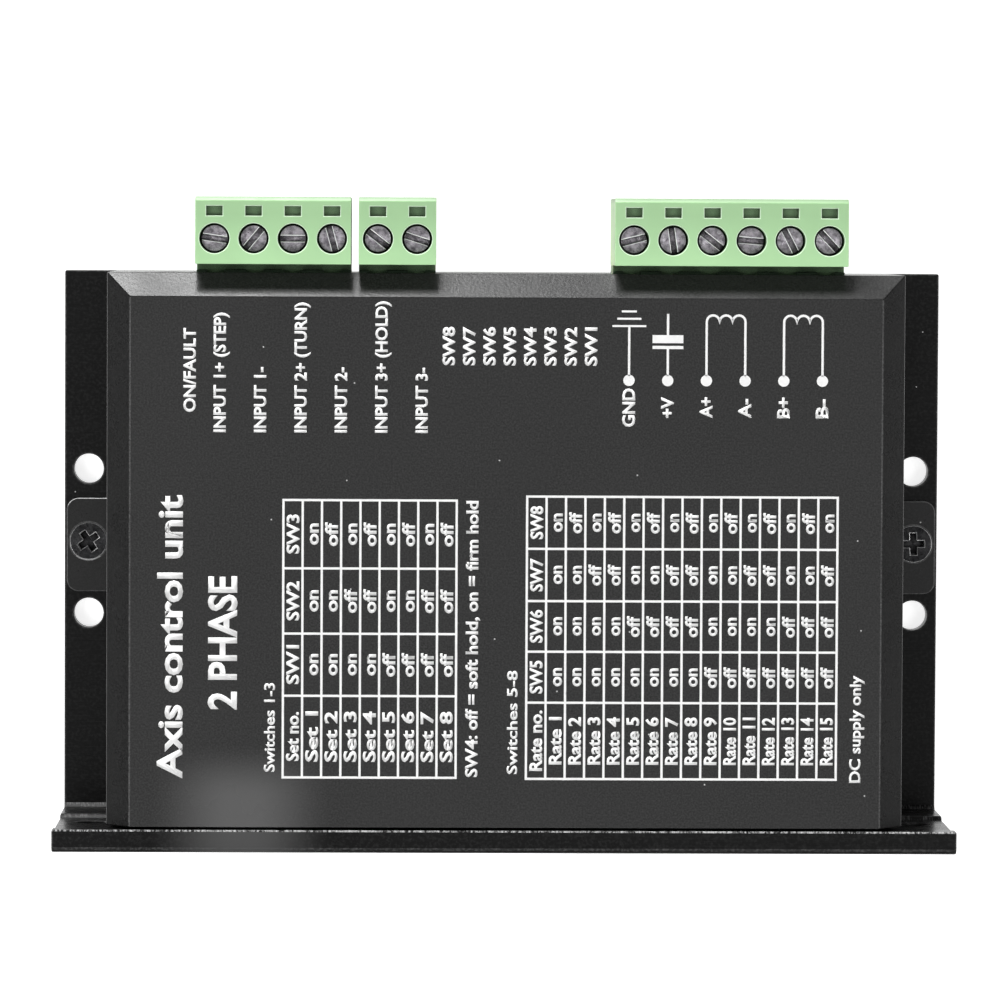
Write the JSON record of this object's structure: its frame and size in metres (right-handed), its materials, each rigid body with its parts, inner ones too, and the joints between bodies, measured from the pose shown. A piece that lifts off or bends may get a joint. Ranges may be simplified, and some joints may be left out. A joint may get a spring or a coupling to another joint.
{
  "type": "stepper motor driver module",
  "caption": "Stepper motor driver: L-shaped black heatsink with a bevelled black cover, green pluggable screw terminals, DIP switch and status lights along one edge.",
  "frame": {"origin": "centre of the four flange holes, on the underside of the heatsink's base plate", "axes": "+X along the module, -Y towards the connectors, +Z away from the base plate"},
  "size_m": [0.118, 0.0853, 0.034],
  "materials": {
    "black_anodised": "satin black anodised, milled faces",
    "black_powder_coat": "matte black coat on folded steel sheet",
    "black_oxide_steel": "black oxide",
    "green_laminate": "solder mask, semi-gloss",
    "brass": "turned",
    "zinc_steel": "zinc plated, dull",
    "header_plastic": "moulded polyamide",
    "plug_plastic": "moulded polyamide",
    "tinned_brass": "tin plated",
    "red_plastic": "moulded, satin",
    "black_plastic": "moulded, satin",
    "white_plastic": "moulded, satin",
    "green_lens": "tinted diffused lens",
    "red_lens": "tinted diffused lens",
    "capacitor_sleeve": "shrink sleeve",
    "black_epoxy": "moulding compound",
    "silicone_pad": "soft, matte"
  },
  "bodies": {
    "module": {"heatsink": "black_anodised", "cover": "black_powder_coat", "cover_screws": "black_oxide_steel", "circuit_board": "green_laminate", "board_standoffs": "brass", "pan_head_screws": "zinc_steel", "signal_header": "header_plastic", "enable_header": "header_plastic", "power_header": "header_plastic", "header_pins": "tinned_brass", "dip_switch_body": "red_plastic", "led_holder": "black_plastic", "power_led": "green_lens", "alarm_led": "red_lens", "bulk_capacitors": "capacitor_sleeve", "power_transistors": "black_epoxy", "transistor_clamp_bar": "zinc_steel", "thermal_pad": "silicone_pad", "controller_chip": "black_epoxy", "optocouplers": "black_epoxy", "sense_resistors": "black_epoxy"},
    "signal_block": {"signal_plug": "plug_plastic", "signal_contacts": "tinned_brass"},
    "enable_block": {"enable_plug": "plug_plastic", "enable_contacts": "tinned_brass"},
    "power_block": {"power_plug": "plug_plastic", "power_contacts": "tinned_brass"},
    "terminal_screw_1": {"terminal_screw_1": "zinc_steel"},
    "wire_clamp_1": {"wire_clamp_1": "tinned_brass"},
    "terminal_screw_2": {"terminal_screw_2": "zinc_steel"},
    "wire_clamp_2": {"wire_clamp_2": "tinned_brass"},
    "terminal_screw_3": {"terminal_screw_3": "zinc_steel"},
    "wire_clamp_3": {"wire_clamp_3": "tinned_brass"},
    "terminal_screw_4": {"terminal_screw_4": "zinc_steel"},
    "wire_clamp_4": {"wire_clamp_4": "tinned_brass"},
    "terminal_screw_5": {"terminal_screw_5": "zinc_steel"},
    "wire_clamp_5": {"wire_clamp_5": "tinned_brass"},
    "terminal_screw_6": {"terminal_screw_6": "zinc_steel"},
    "wire_clamp_6": {"wire_clamp_6": "tinned_brass"},
    "terminal_screw_7": {"terminal_screw_7": "zinc_steel"},
    "wire_clamp_7": {"wire_clamp_7": "tinned_brass"},
    "terminal_screw_8": {"terminal_screw_8": "zinc_steel"},
    "wire_clamp_8": {"wire_clamp_8": "tinned_brass"},
    "terminal_screw_9": {"terminal_screw_9": "zinc_steel"},
    "wire_clamp_9": {"wire_clamp_9": "tinned_brass"},
    "terminal_screw_10": {"terminal_screw_10": "zinc_steel"},
    "wire_clamp_10": {"wire_clamp_10": "tinned_brass"},
    "terminal_screw_11": {"terminal_screw_11": "zinc_steel"},
    "wire_clamp_11": {"wire_clamp_11": "tinned_brass"},
    "terminal_screw_12": {"terminal_screw_12": "zinc_steel"},
    "wire_clamp_12": {"wire_clamp_12": "tinned_brass"},
    "dip_slider_1": {"dip_slider_1": "white_plastic"},
    "dip_slider_2": {"dip_slider_2": "white_plastic"},
    "dip_slider_3": {"dip_slider_3": "white_plastic"},
    "dip_slider_4": {"dip_slider_4": "white_plastic"},
    "dip_slider_5": {"dip_slider_5": "white_plastic"},
    "dip_slider_6": {"dip_slider_6": "white_plastic"},
    "dip_slider_7": {"dip_slider_7": "white_plastic"},
    "dip_slider_8": {"dip_slider_8": "white_plastic"}
  },
  "joints": [
    {"name": "signal_plug_pull", "type": "slide", "parent": "module", "child": "signal_block", "axis": [0, -1, 0], "range_m": [0, 0.012]},
    {"name": "enable_plug_pull", "type": "slide", "parent": "module", "child": "enable_block", "axis": [0, -1, 0], "range_m": [0, 0.012]},
    {"name": "power_plug_pull", "type": "slide", "parent": "module", "child": "power_block", "axis": [0, -1, 0], "range_m": [0, 0.012]},
    {"name": "terminal_screw_1_turn", "type": "hinge", "parent": "signal_block", "child": "terminal_screw_1", "pos_m": [0.038, -0.04093, 0.0315], "axis": [0, 0, -1], "range_deg": [0, 2160]},
    {"name": "wire_clamp_1_lift", "type": "slide", "parent": "signal_block", "child": "wire_clamp_1", "axis": [0, 0, 1], "range_m": [0, 0.003]},
    {"name": "terminal_screw_2_turn", "type": "hinge", "parent": "signal_block", "child": "terminal_screw_2", "pos_m": [0.03292, -0.04093, 0.0315], "axis": [0, 0, -1], "range_deg": [0, 2160]},
    {"name": "wire_clamp_2_lift", "type": "slide", "parent": "signal_block", "child": "wire_clamp_2", "axis": [0, 0, 1], "range_m": [0, 0.003]},
    {"name": "terminal_screw_3_turn", "type": "hinge", "parent": "signal_block", "child": "terminal_screw_3", "pos_m": [0.02784, -0.04093, 0.0315], "axis": [0, 0, -1], "range_deg": [0, 2160]},
    {"name": "wire_clamp_3_lift", "type": "slide", "parent": "signal_block", "child": "wire_clamp_3", "axis": [0, 0, 1], "range_m": [0, 0.003]},
    {"name": "terminal_screw_4_turn", "type": "hinge", "parent": "signal_block", "child": "terminal_screw_4", "pos_m": [0.02276, -0.04093, 0.0315], "axis": [0, 0, -1], "range_deg": [0, 2160]},
    {"name": "wire_clamp_4_lift", "type": "slide", "parent": "signal_block", "child": "wire_clamp_4", "axis": [0, 0, 1], "range_m": [0, 0.003]},
    {"name": "terminal_screw_5_turn", "type": "hinge", "parent": "enable_block", "child": "terminal_screw_5", "pos_m": [0.0168, -0.04093, 0.0315], "axis": [0, 0, -1], "range_deg": [0, 2160]},
    {"name": "wire_clamp_5_lift", "type": "slide", "parent": "enable_block", "child": "wire_clamp_5", "axis": [0, 0, 1], "range_m": [0, 0.003]},
    {"name": "terminal_screw_6_turn", "type": "hinge", "parent": "enable_block", "child": "terminal_screw_6", "pos_m": [0.01172, -0.04093, 0.0315], "axis": [0, 0, -1], "range_deg": [0, 2160]},
    {"name": "wire_clamp_6_lift", "type": "slide", "parent": "enable_block", "child": "wire_clamp_6", "axis": [0, 0, 1], "range_m": [0, 0.003]},
    {"name": "terminal_screw_7_turn", "type": "hinge", "parent": "power_block", "child": "terminal_screw_7", "pos_m": [-0.01645, -0.04093, 0.0315], "axis": [0, 0, -1], "range_deg": [0, 2160]},
    {"name": "wire_clamp_7_lift", "type": "slide", "parent": "power_block", "child": "wire_clamp_7", "axis": [0, 0, 1], "range_m": [0, 0.003]},
    {"name": "terminal_screw_8_turn", "type": "hinge", "parent": "power_block", "child": "terminal_screw_8", "pos_m": [-0.02153, -0.04093, 0.0315], "axis": [0, 0, -1], "range_deg": [0, 2160]},
    {"name": "wire_clamp_8_lift", "type": "slide", "parent": "power_block", "child": "wire_clamp_8", "axis": [0, 0, 1], "range_m": [0, 0.003]},
    {"name": "terminal_screw_9_turn", "type": "hinge", "parent": "power_block", "child": "terminal_screw_9", "pos_m": [-0.02661, -0.04093, 0.0315], "axis": [0, 0, -1], "range_deg": [0, 2160]},
    {"name": "wire_clamp_9_lift", "type": "slide", "parent": "power_block", "child": "wire_clamp_9", "axis": [0, 0, 1], "range_m": [0, 0.003]},
    {"name": "terminal_screw_10_turn", "type": "hinge", "parent": "power_block", "child": "terminal_screw_10", "pos_m": [-0.03169, -0.04093, 0.0315], "axis": [0, 0, -1], "range_deg": [0, 2160]},
    {"name": "wire_clamp_10_lift", "type": "slide", "parent": "power_block", "child": "wire_clamp_10", "axis": [0, 0, 1], "range_m": [0, 0.003]},
    {"name": "terminal_screw_11_turn", "type": "hinge", "parent": "power_block", "child": "terminal_screw_11", "pos_m": [-0.03677, -0.04093, 0.0315], "axis": [0, 0, -1], "range_deg": [0, 2160]},
    {"name": "wire_clamp_11_lift", "type": "slide", "parent": "power_block", "child": "wire_clamp_11", "axis": [0, 0, 1], "range_m": [0, 0.003]},
    {"name": "terminal_screw_12_turn", "type": "hinge", "parent": "power_block", "child": "terminal_screw_12", "pos_m": [-0.04185, -0.04093, 0.0315], "axis": [0, 0, -1], "range_deg": [0, 2160]},
    {"name": "wire_clamp_12_lift", "type": "slide", "parent": "power_block", "child": "wire_clamp_12", "axis": [0, 0, 1], "range_m": [0, 0.003]},
    {"name": "dip_slider_1_throw", "type": "slide", "parent": "module", "child": "dip_slider_1", "axis": [0, 0, 1], "range_m": [0, 0.0018]},
    {"name": "dip_slider_2_throw", "type": "slide", "parent": "module", "child": "dip_slider_2", "axis": [0, 0, 1], "range_m": [0, 0.0018]},
    {"name": "dip_slider_3_throw", "type": "slide", "parent": "module", "child": "dip_slider_3", "axis": [0, 0, 1], "range_m": [0, 0.0018]},
    {"name": "dip_slider_4_throw", "type": "slide", "parent": "module", "child": "dip_slider_4", "axis": [0, 0, 1], "range_m": [0, 0.0018]},
    {"name": "dip_slider_5_throw", "type": "slide", "parent": "module", "child": "dip_slider_5", "axis": [0, 0, 1], "range_m": [0, 0.0018]},
    {"name": "dip_slider_6_throw", "type": "slide", "parent": "module", "child": "dip_slider_6", "axis": [0, 0, 1], "range_m": [0, 0.0018]},
    {"name": "dip_slider_7_throw", "type": "slide", "parent": "module", "child": "dip_slider_7", "axis": [0, 0, 1], "range_m": [0, 0.0018]},
    {"name": "dip_slider_8_throw", "type": "slide", "parent": "module", "child": "dip_slider_8", "axis": [0, 0, 1], "range_m": [0, 0.0018]}
  ],
  "couplings": [
    {"joint": "terminal_screw_1_turn", "follows": "wire_clamp_1_lift", "rad_per_m": 12566},
    {"joint": "terminal_screw_2_turn", "follows": "wire_clamp_2_lift", "rad_per_m": 12566},
    {"joint": "terminal_screw_3_turn", "follows": "wire_clamp_3_lift", "rad_per_m": 12566},
    {"joint": "terminal_screw_4_turn", "follows": "wire_clamp_4_lift", "rad_per_m": 12566},
    {"joint": "terminal_screw_5_turn", "follows": "wire_clamp_5_lift", "rad_per_m": 12566},
    {"joint": "terminal_screw_6_turn", "follows": "wire_clamp_6_lift", "rad_per_m": 12566},
    {"joint": "terminal_screw_7_turn", "follows": "wire_clamp_7_lift", "rad_per_m": 12566},
    {"joint": "terminal_screw_8_turn", "follows": "wire_clamp_8_lift", "rad_per_m": 12566},
    {"joint": "terminal_screw_9_turn", "follows": "wire_clamp_9_lift", "rad_per_m": 12566},
    {"joint": "terminal_screw_10_turn", "follows": "wire_clamp_10_lift", "rad_per_m": 12566},
    {"joint": "terminal_screw_11_turn", "follows": "wire_clamp_11_lift", "rad_per_m": 12566},
    {"joint": "terminal_screw_12_turn", "follows": "wire_clamp_12_lift", "rad_per_m": 12566}
  ]
}
